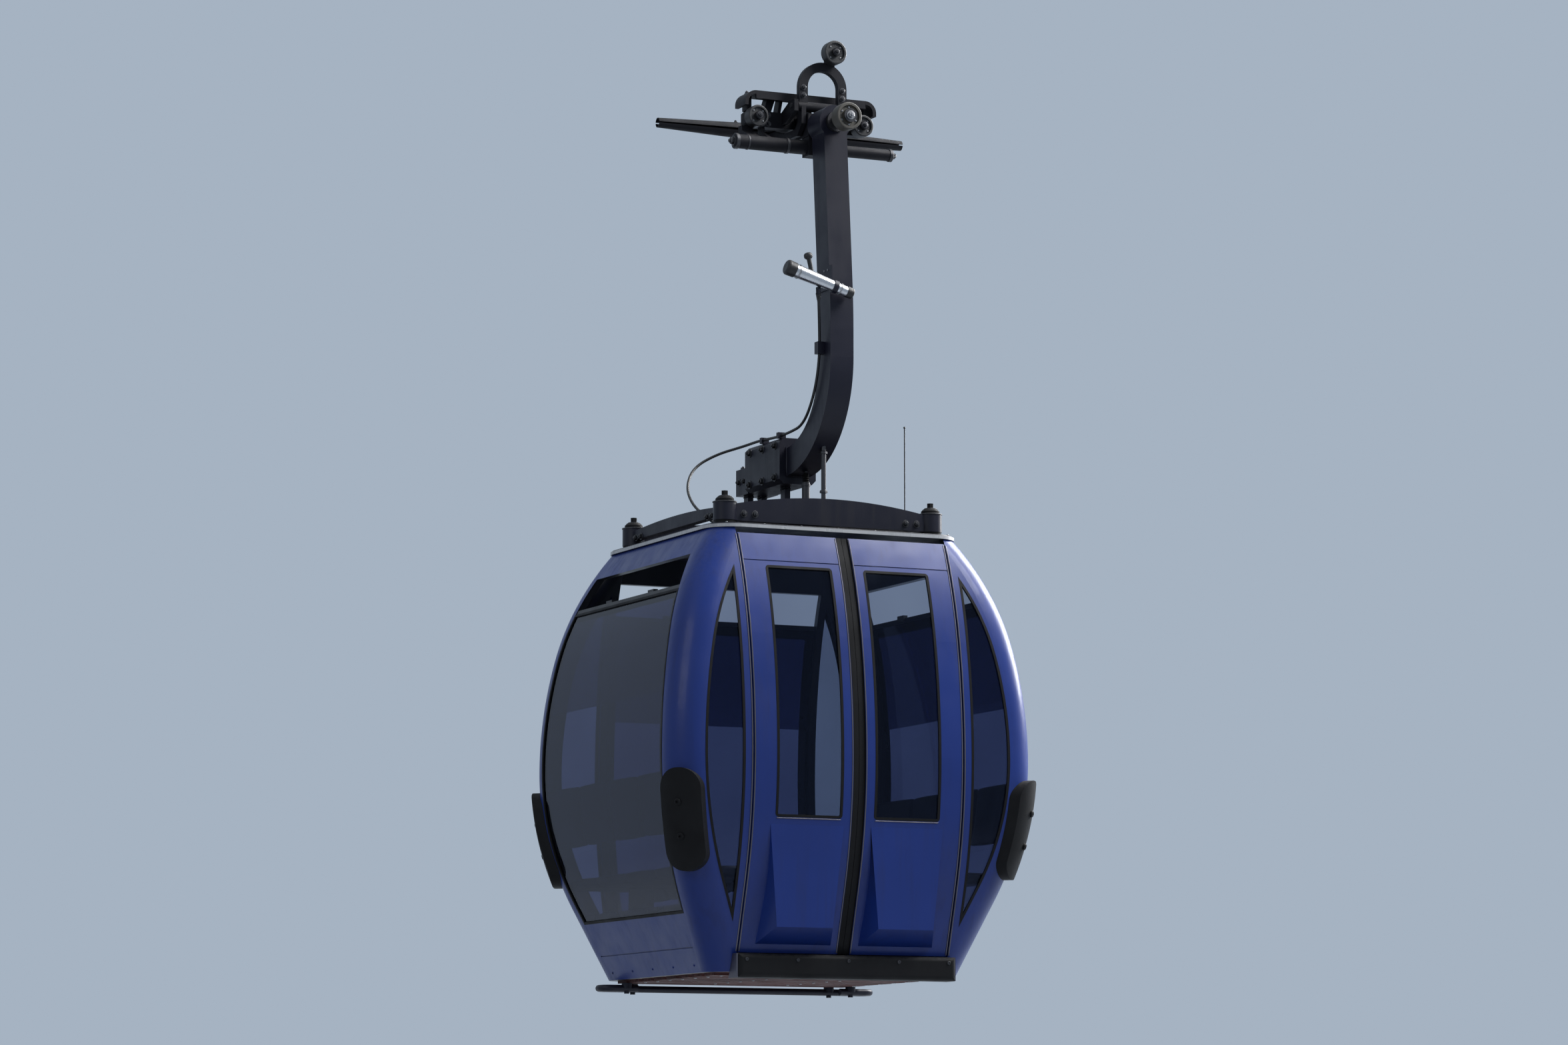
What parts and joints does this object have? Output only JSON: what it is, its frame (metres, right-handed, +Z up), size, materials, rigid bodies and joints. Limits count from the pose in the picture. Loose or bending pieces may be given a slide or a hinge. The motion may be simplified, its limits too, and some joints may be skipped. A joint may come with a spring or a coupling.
{
  "type": "cable car cabin",
  "caption": "Barrel-shaped blue gondola cabin with sliding doors, curved windows, roof frame, bent hanger arm and a rope grip with rollers.",
  "frame": {"origin": "on the rope's axis, in the middle of the grip's jaws", "axes": "+X along the rope, -Y towards the doors, +Z up"},
  "size_m": [2.0078, 1.886, 4.727],
  "materials": {
    "cabin_paint": "satin blue body paint",
    "frame_paint": "satin dark blue-black paint",
    "cast_steel": "dark painted castings",
    "pin_steel": "bare machined steel",
    "tinted_glass": "dark tinted curved pane",
    "black_rubber": "matt black rubber",
    "rail_trim": "black trim",
    "floor_boards": "dark reddish brown boards",
    "seat_shell": "black moulded seat",
    "roller_tread": "grey-beige tread",
    "dark_roller": "black tread",
    "unit_metal": "plain tube",
    "black_plastic": "black moulding"
  },
  "bodies": {
    "grip": {"grip_body": "cast_steel", "fixed_jaw": "cast_steel", "upper_tongues": "cast_steel", "running_plate": "cast_steel", "torsion_bars": "cast_steel", "pivot_pin": "pin_steel", "lever_pin": "pin_steel"},
    "lever": {"clamp_lever": "cast_steel", "moving_jaw": "cast_steel", "lower_tongues": "cast_steel"},
    "lever_wheel": {"lever_roller": "dark_roller"},
    "outer_wheel": {"outer_roller": "roller_tread"},
    "inner_wheel_left": {"inner_roller_left": "dark_roller"},
    "inner_wheel_right": {"inner_roller_right": "dark_roller"},
    "cabin": {"aerial": "black_plastic", "backrests": "seat_shell", "bench_legs": "seat_shell", "corner_bumpers": "black_rubber", "corner_frame_front_left": "cabin_paint", "corner_frame_front_right": "cabin_paint", "corner_frame_rear_left": "cabin_paint", "corner_frame_rear_right": "cabin_paint", "corner_glass": "tinted_glass", "door_glass_left": "tinted_glass", "door_glass_right": "tinted_glass", "door_leaf_left": "cabin_paint", "door_leaf_right": "cabin_paint", "door_seals": "black_rubber", "drop_panes": "tinted_glass", "end_glass_left": "tinted_glass", "end_glass_right": "tinted_glass", "end_header_left": "cabin_paint", "end_header_right": "cabin_paint", "end_panel_left": "cabin_paint", "end_panel_right": "cabin_paint", "floor": "floor_boards", "foot_clamp": "frame_paint", "foot_posts": "frame_paint", "guide_rail": "frame_paint", "hanger_arm": "frame_paint", "junction_box": "black_plastic", "lead": "black_plastic", "rear_glass": "tinted_glass", "rear_header": "cabin_paint", "rear_panel": "cabin_paint", "roof": "frame_paint", "roof_buffers": "black_rubber", "roof_frame": "frame_paint", "seat_left": "seat_shell", "seat_right": "seat_shell", "sill_bumper": "black_rubber", "suspension_rods": "pin_steel", "unit_bracket": "frame_paint", "unit_caps": "black_plastic", "unit_tube": "unit_metal", "window_rails": "rail_trim"}
  },
  "joints": [
    {"name": "hanger_swing", "type": "hinge", "parent": "grip", "child": "cabin", "pos_m": [0, -0.572, -0.06], "axis": [0, 1, 0], "range_deg": [-30, 30]},
    {"name": "jaw_lever", "type": "hinge", "parent": "grip", "child": "lever", "pos_m": [0, -0.42, 0.055], "axis": [-1, 0, 0], "range_deg": [0, 18]},
    {"name": "lever_wheel_spin", "type": "hinge", "parent": "lever", "child": "lever_wheel", "pos_m": [0.074, -0.473, 0.33], "axis": [0, 1, 0], "continuous": true},
    {"name": "outer_wheel_spin", "type": "hinge", "parent": "grip", "child": "outer_wheel", "pos_m": [0, -0.775, -0.06], "axis": [0, 1, 0], "continuous": true},
    {"name": "inner_wheel_left_spin", "type": "hinge", "parent": "grip", "child": "inner_wheel_left", "pos_m": [-0.29, -0.342, 0], "axis": [0, 1, 0], "continuous": true},
    {"name": "inner_wheel_right_spin", "type": "hinge", "parent": "grip", "child": "inner_wheel_right", "pos_m": [0.29, -0.342, 0], "axis": [0, 1, 0], "continuous": true}
  ]
}
